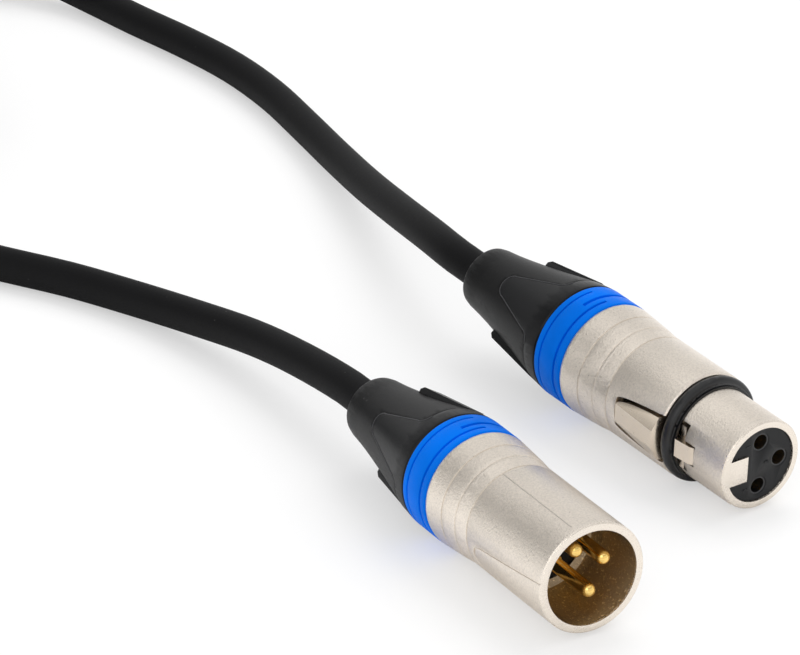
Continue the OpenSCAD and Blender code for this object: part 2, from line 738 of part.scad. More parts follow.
module cable_female_lead() color(rubber) tube(female_path, female_back, tangent_at(coil_start), lead_sides);

module cable_coil() color(rubber) tube(coil_path, tangent_at(coil_start), tangent_at(coil_end), coil_sides);

module cable_male_lead() color(rubber) tube(male_path, tangent_at(coil_end), -male_back, lead_sides);

// Strap round the bundle, with the tail of the strap lying on top of it
module coil_tie() color("#2b2c30") {
    span = turn_step * layer_sweep / 360;
    inner = coil_r - span - turn_step / 4 - cord_r - 0.8;
    outer = coil_r + turn_step / 4 + cord_r + 0.8;
    top = tie_lift + layer_step * (layers - 1) + cord_d + 0.3;
    translate([coil_x, coil_y, 0]) rotate([0, 0, tie_angle]) rotate([90, 0, 0]) translate([0, 0, -tie_w / 2])
        linear_extrude(tie_w) {
            difference() {
                strap_outline(inner - tie_t, outer + tie_t, 0, top + tie_t, 4 + tie_t);
                strap_outline(inner, outer, tie_t, top, 4);
            }
            translate([inner + 6, top + tie_t]) square([16, tie_t]);
        }
}

// Rectangle with rounded corners, drawn from its corner arcs
module strap_outline(x0, x1, y0, y1, r) polygon([
    for (c = [[x1 - r, y1 - r, 0], [x0 + r, y1 - r, 90], [x0 + r, y0 + r, 180], [x1 - r, y0 + r, 270]])
        for (a = [c[2]:15:c[2] + 90]) [c[0] + r * cos(a), c[1] + r * sin(a)]
]);

// ---------- nodes ----------

male_shell();
male_insert();
male_pin(male_angles[0]);  // male_pin_1
male_pin(male_angles[1]);  // male_pin_2
male_pin(male_angles[2]);  // male_pin_3
color(bright) as_male()  // male_ground_tab
    ground_tab(cup_depth + 3.2, male_cup_depth);
color(blue) as_male()  // male_coding_ring
    coding_ring(male_length, male_window);
color("white") as_male() chuck(male_length);  // male_chuck
color(black) as_male()  // male_gland_nut
    gland_nut(male_length, male_tongue);
color(rubber) as_male() boot(male_length, male_tongue);  // male_boot
color(rubber) as_male() jacket_end(male_length);  // male_jacket
color("red") as_male()  // male_core_hot
    core(male_length, male_cup_depth, male_angles[1]);
color("white") as_male()  // male_core_cold
    core(male_length, male_cup_depth, male_angles[2]);
color("gray") as_male()  // male_core_screen
    core(male_length, male_cup_depth, male_angles[0]);
female_shell();
female_insert();
female_contact(female_angles[0]);  // female_contact_1
female_contact(female_angles[1]);  // female_contact_2
female_contact(female_angles[2]);  // female_contact_3
color(bright) as_female()  // female_ground_tab
    ground_tab(flange_depth - 1.8, female_cup_depth);
female_seal();
female_latch();
female_latch_pin();
female_latch_spring();
color(blue) as_female()  // female_coding_ring
    coding_ring(female_length, female_window);
color("white") as_female() chuck(female_length);  // female_chuck
color(black) as_female()  // female_gland_nut
    gland_nut(female_length, female_tongue);
color(rubber) as_female() boot(female_length, female_tongue);  // female_boot
color(rubber) as_female() jacket_end(female_length);  // female_jacket
color("red") as_female()  // female_core_hot
    core(female_length, female_cup_depth, female_angles[1]);
color("white") as_female()  // female_core_cold
    core(female_length, female_cup_depth, female_angles[2]);
color("gray") as_female()  // female_core_screen
    core(female_length, female_cup_depth, female_angles[0]);
cable_female_lead();
cable_coil();
cable_male_lead();
coil_tie();
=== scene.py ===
"""Dresses the microphone cable: cord, plugs, coil tie, stage and camera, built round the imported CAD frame."""

import math

import bpy
from mathutils import Matrix, Vector


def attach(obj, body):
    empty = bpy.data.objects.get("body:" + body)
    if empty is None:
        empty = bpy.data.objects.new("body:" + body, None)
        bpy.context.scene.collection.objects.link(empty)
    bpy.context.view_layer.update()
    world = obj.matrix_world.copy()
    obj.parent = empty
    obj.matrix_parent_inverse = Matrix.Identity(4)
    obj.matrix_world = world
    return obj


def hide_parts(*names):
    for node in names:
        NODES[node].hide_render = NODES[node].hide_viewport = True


bl_info = {
    "name": "Microphone Cable",
    "version": (1, 0, 0),
    "blender": (4, 5, 0),
    "location": "View3D > Sidebar > Cable",
    "description": "Builds the plugs, cord, coil and tie of a microphone cable",
    "category": "Add Mesh",
}

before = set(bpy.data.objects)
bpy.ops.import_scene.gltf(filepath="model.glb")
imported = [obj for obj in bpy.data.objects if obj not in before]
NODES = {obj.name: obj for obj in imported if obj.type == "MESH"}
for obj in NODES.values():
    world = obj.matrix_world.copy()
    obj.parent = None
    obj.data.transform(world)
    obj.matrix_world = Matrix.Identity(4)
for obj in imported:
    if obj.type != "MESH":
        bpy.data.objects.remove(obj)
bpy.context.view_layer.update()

MM = 0.001
ROOT_BODY = "cable"
LATCH_BODY = "latch"
PLUGS = ("male", "female")
CONTACT_ANGLES = {"male": (90, -90, 180), "female": (-90, 90, 180)}
TONGUES = 2

# The sloped front of the latch's tab is drawn forward. Measured back from the tab's front: the
# stretch whose points move, a place on the slope, and where that place comes to
SLOPE_STRETCH = (0.5 * MM, 2.5 * MM)
SLOPE_PLACE = 0.72 * MM
DRAWN_PLACE = 0.4 * MM
# The height over the plug's axis that the moving points lie above, the share of its length that
# the slope keeps, and the rise of the tab's facet for each step forward
SLOPE_FLOOR = 8.6 * MM
SLOPE_SHARE = 0.21
TAB_SLOPE = 0.0575

# What metal mirrors, by the height of the direction: a dim strip in a white surround
STRIP = ((0.0, 0.90), (0.44, 0.97), (0.54, 0.66), (0.70, 0.56), (0.82, 1.0))
# A dark flag beside the object: its direction, the cosines of its soft edge, and its level
FLAG_WAY = (-0.744, -0.50, 0.43)
FLAG_EDGE = (0.90, 0.985)
FLAG_LEVEL = 0.30
# Level of the surround as surfaces that don't mirror it see it
SOFT_LEVEL = 0.80
# Share of its own glow that the camera sees in the table
TABLE_GLOW = 0.50


# ---------- sizes and colours that a user would change ----------


def length(name, description, default_mm):
    return bpy.props.FloatProperty(
        name=name, description=description, default=default_mm * MM, unit="LENGTH", precision=5
    )


def angle(name, description, default_deg):
    return bpy.props.FloatProperty(
        name=name, description=description, default=math.radians(default_deg),
        unit="ROTATION", subtype="ANGLE",
    )


def place(name, description, default_mm):
    return bpy.props.FloatVectorProperty(
        name=name, description=description, default=[v * MM for v in default_mm],
        subtype="TRANSLATION", unit="LENGTH",
    )


def colour(name, description, default):
    return bpy.props.FloatVectorProperty(
        name=name, description=description, default=default, subtype="COLOR", size=3, min=0, max=1
    )


class CABLE_PG_sizes(bpy.types.PropertyGroup):
    """Sizes of the plugs and of the cord"""

    male_length: length("Male length", "Male mating face to its coding ring", 33.9)
    female_length: length("Female length", "Female mating face to its coding ring", 40.7)
    mouth_d: length("Cup bore", "Bore of the male cup", 16.3)
    cup_depth: length("Cup depth", "Depth of the male cup", 13.3)
    ring_d: length("Ring", "Diameter of the coding rings", 20.6)
    ring_w: length("Ring width", "Width of a coding ring", 7.1)
    collar: length("Collar", "Length of the gland nut's full collar", 3.2)
    boot: length("Boot", "Length of a collar and boot behind the coding ring", 27.2)
    finger: length("Tongue", "Length of a gland nut's tongues behind the collar", 12.9)
    tongue_w: length("Tongue base", "Width of a tongue at its base", 9.5)
    tongue_tip_w: length("Tongue tip", "Width of a tongue near its tip", 4.2)
    boot_end_d: length("Boot end", "Diameter of a boot at its rear shoulder", 11.6)
    contact_circle_d: length("Contact circle", "Diameter of the circle that the contacts stand on", 8.12)
    tab_front: length("Latch tab", "Female mating face to the front of the latch's tab", 15.2)
    entry_d: length("Entry", "Diameter of a female contact's entry", 2.8)
    digit_h: length("Digits", "Height of the contact numbers", 1.3)
    cord_d: length("Cord", "Diameter of the cord", 6.3)
    coil_r: length("Coil radius", "Radius of the coil's outermost turn", 47.0)
    turn_step: length("Turn step", "Step between neighbouring turns", 7.0)
    layer_step: length("Layer step", "Step between layers of the coil", 6.8)
    tie_w: length("Tie width", "Width of the tie's strap", 14.0)
    tie_t: length("Tie thickness", "Thickness of the tie's strap", 1.1)


class CABLE_PG_places(bpy.types.PropertyGroup):
    """Where the plugs and the coil lie"""

    male: place("Male plug", "Centre of the male mating face", (48.0, -22.4, 10.3))
    male_roll: angle("Male roll", "Turn of the male plug about its axis", 108.0)
    male_dip: angle("Male dip", "Slope of the male plug towards its nose", 0.0)
    male_heading: angle("Male heading", "Turn of the male plug on the table", -1.1)
    female: place("Female plug", "Centre of the female mating face", (27.3, 23.6, 8.531))
    female_roll: angle("Female roll", "Turn of the female plug about its axis", 90.4)
    female_dip: angle("Female dip", "Slope of the female plug towards its nose", 3.8)
    female_heading: angle("Female heading", "Turn of the female plug on the table", 4.5)
    coil: place("Coil", "Centre of the coil", (-205.3, -62.9, 0.0))
    coil_start: angle("Coil start", "Where the cord joins the coil", 172.0)
    coil_end: angle("Coil end", "Where the cord leaves the coil", 330.0)
    tie: angle("Tie", "Where the tie holds the coil", 40.0)
    male_tongue: angle(
        "Male tongue", "Turn of the male gland's first tongue from the latch side", -50.0
    )
    female_tongue: angle(
        "Female tongue", "Turn of the female gland's first tongue from the latch side", -48.0
    )


class CABLE_PG_colours(bpy.types.PropertyGroup):
    """Base colours of the finishes"""

    nickel: colour("Nickel", "Satin nickel shells", (0.88, 0.80, 0.705))
    # The cup colour is painted shade and painted reflection for the inside of the male cup
    cup: colour("Cup", "Dull unpolished bore of the male cup", (0.44, 0.345, 0.225))
    bright: colour("Latch", "Bright nickel latch", (0.76, 0.66, 0.54))
    gold: colour("Gold", "Gold plated contacts", (1.0, 0.68, 0.21))
    blue: colour("Blue", "Coding rings", (0.0, 0.155, 0.76))
    gland: colour("Gland", "Hard black plastic of the glands", (0.0035, 0.0037, 0.0045))
    boot: colour("Boot", "Soft black boots", (0.004, 0.004, 0.0043))
    jacket: colour("Jacket", "Cord jacket", (0.004, 0.004, 0.0045))
    insert: colour("Insert", "Black inserts", (0.006, 0.0062, 0.007))
    seal: colour("Seal", "Black sealing ring", (0.005, 0.005, 0.006))
    tie: colour("Tie", "Hook-and-loop tie", (0.02, 0.02, 0.023))
    table: colour("Table", "Table under the cable", (0.97, 0.97, 0.97))


# ---------- shader expressions ----------


class Wire:
    """A shader socket that can be used in a sum, a product or a power"""

    def __init__(self, recipe, socket):
        self.recipe = recipe
        self.socket = socket

    def maths(self, operation, first, second=None, clamp=False):
        values = [first] if second is None else [first, second]
        return self.recipe.node("ShaderNodeMath", {"operation": operation, "use_clamp": clamp}, values)

    def __add__(self, other):
        return self.maths("ADD", self, other)

    def __radd__(self, other):
        return self.maths("ADD", other, self)

    def __sub__(self, other):
        return self.maths("SUBTRACT", self, other)

    def __rsub__(self, other):
        return self.maths("SUBTRACT", other, self)

    def __mul__(self, other):
        return self.maths("MULTIPLY", self, other)

    def __rmul__(self, other):
        return self.maths("MULTIPLY", other, self)

    def __truediv__(self, other):
        return self.maths("DIVIDE", self, other)

    def __pow__(self, other):
        return self.maths("POWER", self, other)

    def clamped(self):
        return self.maths("ADD", self, 0.0, clamp=True)

    def above(self, threshold):
        return self.maths("GREATER_THAN", self, threshold)

    def below(self, threshold):
        return self.maths("LESS_THAN", self, threshold)

    def near(self, centre, half_width):
        """1 on a line at the centre, falling to 0 at half a width from it"""
        off = self.maths("ABSOLUTE", self - centre)
        return (1.0 - off / half_width).clamped()


class Recipe:
    """Builds one procedural material on a Principled shader"""

    def __init__(self, name, **sockets):
        self.material = bpy.data.materials.new(name)
        self.material.use_nodes = True
        self.tree = self.material.node_tree
        self.tree.nodes.clear()
        self.shader = self.tree.nodes.new("ShaderNodeBsdfPrincipled")
        output = self.tree.nodes.new("ShaderNodeOutputMaterial")
        self.tree.links.new(self.shader.outputs[0], output.inputs["Surface"])
        self.place = self.node("ShaderNodeTexCoord", output="Object")
        self.set(**sockets)

    def fill(self, socket, value):
        if isinstance(value, Wire):
            self.tree.links.new(value.socket, socket)
        elif hasattr(value, "__len__") and len(value) == 3 and socket.type == "RGBA":
            socket.default_value = (*value, 1.0)
        else:
            socket.default_value = value

    def node(self, kind, settings=None, inputs=None, output=0):
        """Adds a node: settings first, then sockets by place or by name; returns one of its outputs"""
        new = self.tree.nodes.new(kind)
        for key, value in (settings or {}).items():
            setattr(new, key, value)
        pairs = inputs.items() if isinstance(inputs, dict) else enumerate(inputs or [])
        for key, value in pairs:
            self.fill(new.inputs[key], value)
        return Wire(self, new.outputs[output])

    def set(self, **sockets):
        """Sets sockets of the shader, named with underscores for spaces"""
        for key, value in sockets.items():
            self.fill(self.shader.inputs[key.replace("_", " ")], value)

    def on_axis(self, matrix):
        """How far behind a plug's mating face, how far from its axis, and the two cross coordinates"""
        sockets = {"Vector": self.place, "Location": matrix.to_translation(), "Rotation": matrix.to_euler()}
        local = self.node("ShaderNodeMapping", {"vector_type": "TEXTURE"}, sockets)
        x, y, z = (self.node("ShaderNodeSeparateXYZ", inputs=[local], output=axis) for axis in "XYZ")
        return 0.0 - x, (y * y + z * z) ** 0.5, y, z

    def noise(self, scale, detail=2.0, roughness=0.5):
        sockets = {"Vector": self.place, "Scale": scale, "Detail": detail, "Roughness": roughness}
        return self.node("ShaderNodeTexNoise", inputs=sockets, output="Fac")

    def cells(self, scale):
        sockets = {"Vector": self.place, "Scale": scale}
        return self.node("ShaderNodeTexVoronoi", inputs=sockets, output="Distance")

    def range(self, value, low, high, to_low=0.0, to_high=1.0):
        sockets = {"Value": value, "From Min": low, "From Max": high, "To Min": to_low, "To Max": to_high}
        return self.node("ShaderNodeMapRange", {"clamp": True}, sockets)

    def blend(self, factor, first, second):
        new = self.tree.nodes.new("ShaderNodeMix")
        new.data_type = "RGBA"
        self.fill(new.inputs[0], factor)
        self.fill(new.inputs[6], first)
        self.fill(new.inputs[7], second)
        return Wire(self, new.outputs[2])

    def bump(self, height, distance, strength=1.0):
        sockets = {"Height": height, "Distance": distance, "Strength": strength}
        return self.node("ShaderNodeBump", inputs=sockets)


def shade(rgb, factor):
    return tuple(min(1.0, c * factor) for c in rgb)


# ---------- modelling by hand ----------


def only(obj):
    """Deselects everything, then selects one object and makes it active"""
    bpy.ops.object.select_all(action="DESELECT")
    obj.select_set(True)
    bpy.context.view_layer.objects.active = obj


def apply_modifier(obj, kind, **settings):
    only(obj)
    modifier = obj.modifiers.new(kind.title(), kind)
    for key, value in settings.items():
        setattr(modifier, key, value)
    bpy.ops.object.modifier_apply(modifier=modifier.name)


def seat(obj, matrix):
    """Moves a piece modelled at the origin to its place and writes that place into its mesh"""
    only(obj)
    obj.matrix_world = matrix
    bpy.ops.object.transform_apply(location=True, rotation=True, scale=True)


def smooth(obj, degrees=32.0):
    only(obj)
    bpy.ops.object.shade_smooth_by_angle(angle=math.radians(degrees))


def finish_piece(obj, material, slot, body, *nodes):
    obj.data.materials.clear()
    obj.data.materials.append(material)
    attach(obj, body)
    if nodes:
        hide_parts(*nodes)


def refined_copy(node, bevel_mm, degrees=32.0, reshape=None):
    """Copies a CAD node, joins its triangles into clean faces, reshapes it and rounds its sharp edges"""
    only(NODES[node])
    bpy.ops.object.duplicate()
    copy = bpy.context.active_object
    copy.name = node + "_dressed"
    for key in list(copy.keys()):
        del copy[key]
    copy.parent = None
    bpy.ops.object.mode_set(mode="EDIT")
    bpy.ops.mesh.select_all(action="SELECT")
    bpy.ops.mesh.remove_doubles(threshold=0.002 * MM)
    bpy.ops.mesh.dissolve_limited(angle_limit=math.radians(0.6))
    bpy.ops.object.mode_set(mode="OBJECT")
    if reshape:
        reshape(copy)
    if bevel_mm:
        apply_modifier(
            copy, "BEVEL", width=bevel_mm * MM, segments=2, limit_method="ANGLE",
            angle_limit=math.radians(34), use_clamp_overlap=True,
        )
    smooth(copy, degrees)
    return copy


# ---------- the cord's way, as in the CAD source ----------

FEMALE_POINTS = [
    (-67.1, 18.9, 9.8), (-84.8, 22.8, 6.8), (-103.0, 27.2, 3.6), (-121.2, 31.5, 1.2), (-138.1, 34.7, 0.2),
    (-154, 36.8, 0), (-169.2, 37, 0), (-184.3, 35.2, 0), (-199.1, 32.5, 0), (-211.9, 30.1, 0.3),
    (-224.4, 25.1, 2.2), (-235.4, 15.6, 5.8), (-243.4, 1.2, 10.5), (-248, -15.9, 15.3), (-250, -33.3, 18.9),
]
MALE_POINTS = [
    (-153.8, -68.9, 0), (-142.8, -58.9, 0), (-128.8, -49.4, 0), (-114.3, -41.2, 0), (-102.3, -34, 0),
    (-88.3, -28, 0.4), (-73.4, -24, 1.8), (-58.9, -21.6, 3.7), (-44.2, -20.9, 5.6),
]
WHOLE_TURNS = 10
LAYERS = 4
POINTS_PER_TURN = 36
# Degrees: the sweep of a climb from one layer to the next, and how far to each side of the tie the
# coil stays lifted over its strap and then comes down
CLIMB_SWEEP = 180
LIFT_FLAT = 20
LIFT_EASE = 35
# Gap between the coil and the tie's strap, under and over it
TIE_GAP = 0.3 * MM

# Step between the cord's points outside the coil, and its straight run behind a boot
CORD_STEP = 4 * MM
STRAIGHT = 8 * MM


def boot_end(sizes, which):
    """From a plug's mating face to the end of its boot"""
    return getattr(sizes, which + "_length") + sizes.ring_w + sizes.boot


def plug_matrix(places, which):
    return (
        Matrix.Translation(getattr(places, which))
        @ Matrix.Rotation(getattr(places, which + "_heading"), 4, "Z")
        @ Matrix.Rotation(getattr(places, which + "_dip"), 4, "Y")
        @ Matrix.Rotation(getattr(places, which + "_roll"), 4, "X")
    )


def eased(t):
    t = min(1.0, max(0.0, t))
    return t * t * (3 - 2 * t)


class CoilWay:
    """The wound part of the cord: spirals in and out, climbing a layer round each reversal"""

    def __init__(self, sizes, places):
        self.sizes = sizes
        self.places = places
        self.start = math.degrees(places.coil_start)
        self.sweep = 360 * WHOLE_TURNS + math.degrees(places.coil_end) - self.start
        self.layer_sweep = self.sweep / LAYERS

    def point(self, swept):
        sizes = self.sizes
        a = self.start + swept
        cycle = (swept / self.layer_sweep) % 2
        inward = abs(cycle - (2 if cycle > 1 else 0))
        r = sizes.coil_r - sizes.turn_step * self.layer_sweep / 360 * inward
        climbs = sum(
            eased((swept - n * self.layer_sweep + CLIMB_SWEEP / 2) / CLIMB_SWEEP) for n in range(1, LAYERS)
        )
        off = abs((a - math.degrees(self.places.tie) + 900) % 360 - 180)
        lift = (sizes.tie_t + TIE_GAP) * (1 - eased((off - LIFT_FLAT) / LIFT_EASE))
        z = sizes.cord_d / 2 + sizes.layer_step * (LAYERS - 1 - climbs) + lift
        x, y = self.places.coil[:2]
        return Vector((x + r * math.cos(math.radians(a)), y + r * math.sin(math.radians(a)), z))

    def points(self):
        count = round(self.sweep / 360 * POINTS_PER_TURN)
        return [self.point(self.sweep * i / count) for i in range(count + 1)]


def tangent(degrees):
    a = math.radians(degrees)
    return Vector((-math.sin(a), math.cos(a), 0))


def curved(points, step):
    """A smooth curve through the points, sampled about every step"""
    out = []
    for i in range(len(points) - 1):
        before = points[i - 1] if i else points[0] * 2 - points[1]
        a, b = points[i], points[i + 1]
        after = points[i + 2] if i + 2 < len(points) else b * 2 - a
        span = (b - a).length
        slope_a = (b - before) / ((b - a).length + (a - before).length) * span
        slope_b = (after - a) / ((after - b).length + (b - a).length) * span
        pieces = max(1, round(span / step))
        for k in range(pieces):
            t = k / pieces
            out.append(
                a * (2 * t**3 - 3 * t**2 + 1) + slope_a * (t**3 - 2 * t**2 + t)
                + b * (3 * t**2 - 2 * t**3) + slope_b * (t**3 - t**2)
            )
    return out + [points[-1]]


def cord_way(sizes, places):
    """Every point of the cord, from the female boot through the coil to the male boot"""
    ends = {}
    for which in ("female", "male"):
        matrix = plug_matrix(places, which)
        back = -(matrix.to_3x3() @ Vector((1, 0, 0)))
        exit_point = matrix @ Vector((-boot_end(sizes, which), 0, 0))
        ends[which] = (exit_point, exit_point + back * STRAIGHT)
    raised = Vector((0, 0, sizes.cord_d / 2))
    coil = CoilWay(sizes, places)
    turns = coil.points()
    first = turns[0] - tangent(coil.start) * sizes.cord_d
    last = turns[-1] + tangent(math.degrees(places.coil_end)) * sizes.cord_d
    female = [*ends["female"], *[Vector(p) * MM + raised for p in FEMALE_POINTS], first, turns[0]]
    male = [turns[-1], last, *[Vector(p) * MM + raised for p in MALE_POINTS], *reversed(ends["male"])]
    return curved(female, CORD_STEP)[:-1] + turns + curved(male, CORD_STEP)[1:]


# ---------- finishes ----------


# The parting line on the male shell: half its width, and how far behind the mating face it starts and ends
PARTING_HALF = 0.12 * MM
PARTING_START = 1.5 * MM
PARTING_END = 22 * MM


def nickel_finish(name, colours, matrix, cup=None):
    """Satin nickel over a fine blasted grain, smoother on the rim, where its tone is painted, with painted
    shade, painted reflection and painted glints in the bore where there is a cup
    """
    r = Recipe(name, Metallic=1.0)
    depth, radius, y, z = r.on_axis(matrix)
    grain = r.noise(2800, 2.0, 0.8)
    speckle = r.range(grain, 0.36, 0.64)
    patches = r.noise(45, 3.0)
    rim = depth.near(0.0, 0.9 * MM)
    tone = r.blend(r.range(patches, 0.35, 0.68), shade(colours.nickel, 0.96), shade(colours.nickel, 1.05))
    tone = r.blend(0.30 * (1.0 - speckle) * (1.0 - rim), tone, shade(colours.nickel, 0.5))
    # Painted rim tone: the front rim gets an even tone, a touch below the mean, set for how bright the thin rim
    # shows in the light; the grain's dark speckle is left off it
    tone = r.blend(0.75 * rim, tone, shade(colours.nickel, 0.95))
    rough = 0.22 + 0.12 * grain + 0.04 * patches - 0.04 * rim
    height = grain
    if cup:
        bore_r, bore_end = cup
        # Inside the cup the colour is painted shade and painted reflection: a darker brown for the shade that
        # falls in the bore and the gold and black it mirrors
        inside = radius.below(bore_r + 0.06 * MM) * depth.above(0.4 * MM) * depth.below(bore_end)
        # Painted glints: pale gold specks that stand for the gold pins mirrored in the bore
        painted_glints_mask = r.range(r.noise(1900, 2.0, 0.8), 0.57, 0.67)
        painted_bore_shade_and_glints = r.blend(painted_glints_mask, colours.cup, (0.95, 0.78, 0.50))
        tone = r.blend(0.86 * inside, tone, painted_bore_shade_and_glints)
        parting = z.near(0.0, PARTING_HALF) * y.above(0.0) * (1.0 - inside) * depth.above(PARTING_START)
        height = grain - 1.6 * parting * depth.below(PARTING_END)
        # Along the parting line the colour is darkened: painted shade in its fine groove, on top of the bump
        # groove
        tone = r.blend(0.35 * parting * depth.below(PARTING_END), tone, shade(colours.nickel, 0.5))
    r.set(Base_Color=tone, Roughness=rough, Normal=r.bump(height, 0.12 * MM))
    return r.material


def bright_finish(colours):
    """Polished nickel with faint smears and fine scratches"""
    r = Recipe("bright_nickel", Metallic=1.0)
    grain = r.noise(3800, 2.0)
    smears = r.noise(260, 3.0)
    scratches = r.range(r.noise(900, 5.0, 0.75), 0.60, 0.68)
    tone = r.blend(smears, shade(colours.bright, 0.9), shade(colours.bright, 1.06))
    r.set(
        Base_Color=r.blend(0.2 * scratches, tone, shade(colours.bright, 0.6)),
        Roughness=0.17 + 0.12 * smears + 0.10 * scratches,
        Normal=r.bump(grain + 0.5 * scratches, 0.008 * MM, 0.25),
    )
    return r.material


def gold_finish(colours):
    """Gold plate, paler where it is worn"""
    r = Recipe("gold_plate", Metallic=1.0)
    grain = r.noise(2600, 2.0)
    wear = r.noise(420, 4.0)
    tone = r.blend(r.range(wear, 0.4, 0.75), colours.gold, shade(colours.gold, 0.78))
    r.set(
        Base_Color=r.blend(0.3 * r.range(grain, 0.55, 0.75), tone, (0.98, 0.85, 0.55)),
        Roughness=0.09 + 0.13 * wear,
        Normal=r.bump(grain, 0.006 * MM, 0.2),
    )
    return r.material


def moulded_finish(name, base, roughness, grain_scale, grain_depth, gloss=0.28, dust=0.0):
    """Moulded plastic or rubber: a fine spark-eroded grain with slight clouding, scuffs and specks of dust"""
    r = Recipe(name)
    grain = r.noise(grain_scale, 3.0, 0.6)
    cloud = r.noise(90, 3.0)
    scuffs = r.range(r.noise(700, 4.0, 0.7), 0.62, 0.8)
    r.shader.inputs["Specular IOR Level"].default_value = gloss
    tone = r.blend(r.range(cloud, 0.3, 0.7), shade(base, 0.86), shade(base, 1.15))
    if dust:
        specks = r.cells(520).below(0.09) * r.range(r.noise(60, 2.0), 0.55, 0.62)
        tone = r.blend(dust * specks, tone, (0.30, 0.30, 0.29))
    r.set(
        Base_Color=tone,
        Roughness=roughness + 0.10 * grain + 0.06 * cloud - 0.08 * scuffs,
        Normal=r.bump(grain, grain_depth, 0.6),
    )
    return r.material


def strap_finish(colours):
    """Hook-and-loop strap: a ribbed weave under short fuzzy loops"""
    r = Recipe("strap_weave")
    fuzz = r.noise(2400, 4.0, 0.8)
    loops = r.cells(1500)
    r.set(
        Base_Color=r.blend(fuzz, shade(colours.tie, 0.5), shade(colours.tie, 2.2)),
        Roughness=0.86 + 0.1 * fuzz,
        Normal=r.bump(0.6 * loops + 0.5 * fuzz, 0.25 * MM, 0.8),
    )
    r.shader.inputs["Sheen Weight"].default_value = 0.35
    return r.material


class Finishes:
    """Every material of the cable, made once"""

    def __init__(self, colours, sizes, places):
        cup = (sizes.mouth_d / 2, sizes.cup_depth + 2 * MM)
        self.nickel = {
            "male": nickel_finish("cup_nickel", colours, plug_matrix(places, "male"), cup),
            "female": nickel_finish("nose_nickel", colours, plug_matrix(places, "female")),
        }
        self.bright = bright_finish(colours)
        self.gold = gold_finish(colours)
        self.blue = moulded_finish("coding_blue", colours.blue, 0.30, 1500, 0.01 * MM, 0.03)
        self.gland = moulded_finish("gland_black", colours.gland, 0.28, 2600, 0.02 * MM, 0.22)
        self.boot = moulded_finish("boot_black", colours.boot, 0.34, 3000, 0.03 * MM, 0.18, dust=0.1)
        # Painted highlight: the boot's black made twelve times lighter, for the thin light line along each
        # tongue's seam
        self.bead = moulded_finish("boot_flash", shade(colours.boot, 12.0), 0.40, 3000, 0.01 * MM, 0.45)
        self.jacket = moulded_finish("jacket_black", colours.jacket, 0.55, 2200, 0.04 * MM, 0.14, dust=0.1)
        self.insert = moulded_finish("insert_black", colours.insert, 0.40, 2600, 0.02 * MM)
        # Painted highlight: a lighter, glossier copy of the insert's black on the entry lips, so that their
        # rims show lit
        self.lip = moulded_finish("lip_black", shade(colours.insert, 2.5), 0.22, 2600, 0.01 * MM, 0.8)
        self.seal = moulded_finish("seal_black", colours.seal, 0.28, 2200, 0.01 * MM, 0.5)
        self.chuck = moulded_finish("chuck_white", (0.80, 0.79, 0.74), 0.45, 2200, 0.02 * MM)
        self.red = moulded_finish("core_red", (0.45, 0.02, 0.015), 0.35, 2200, 0.01 * MM)
        self.white = moulded_finish("core_white", (0.80, 0.80, 0.77), 0.35, 2200, 0.01 * MM)
        self.grey = moulded_finish("core_sleeve", (0.05, 0.05, 0.055), 0.5, 2200, 0.01 * MM)
        self.strap = strap_finish(colours)


FINISH = {}


def finishes():
    if "all" not in FINISH:
        scene = bpy.context.scene
        FINISH["all"] = Finishes(scene.cable_colours, scene.cable_sizes, scene.cable_places)
    return FINISH["all"]


# ---------- pieces ----------


def dress(node, material, slot, bevel_mm=0.0, degrees=32.0, body=ROOT_BODY, reshape=None):
    """Puts a finished copy of a CAD node in its place"""
    finish_piece(refined_copy(node, bevel_mm, degrees, reshape), material, slot, body, node)


def steepen_tab(latch):
    """Draws the sloped front of the latch's tab forward along its facets, so that they run on to the seal"""
    plug = plug_matrix(bpy.context.scene.cable_places, "female")
    front = bpy.context.scene.cable_sizes.tab_front
    first, last = SLOPE_STRETCH
    for vertex in latch.data.vertices:
        spot = plug.inverted() @ vertex.co
        behind = -spot.x - front
        if first < behind < last and spot.z > SLOPE_FLOOR:
            forward = behind - (DRAWN_PLACE + (behind - SLOPE_PLACE) * SLOPE_SHARE)
            vertex.co = plug @ (spot + Vector((forward, 0.0, forward * TAB_SLOPE)))


def paint(node, material):
    """Gives a CAD node that nothing covers its finish"""
    NODES[node].data.materials.clear()
    NODES[node].data.materials.append(material)


def curve_object(name, points, radius, resolution):
    data = bpy.data.curves.new(name, "CURVE")
    data.dimensions = "3D"
    data.bevel_depth = radius
    data.bevel_resolution = resolution
    data.use_fill_caps = True
    spline = data.splines.new("POLY")
    spline.points.add(len(points) - 1)
    for spot, point in zip(spline.points, points):
        spot.co = (*point, 1.0)
    spline.use_smooth = True
    curve = bpy.data.objects.new(name, data)
    bpy.context.scene.collection.objects.link(curve)
    return curve


def made_mesh(obj):
    only(obj)
    bpy.ops.object.convert(target="MESH")
    return bpy.context.active_object


def cone_radius(sizes, back):
    """Radius of a boot's cone at a distance behind the collar"""
    front_r, rear_r = sizes.ring_d / 2 - 0.4 * MM, sizes.boot_end_d / 2
    share = min(1.0, back / (sizes.boot - 2 * MM - sizes.collar))
    return rear_r + (front_r - rear_r) * (1 - share) ** 1.2


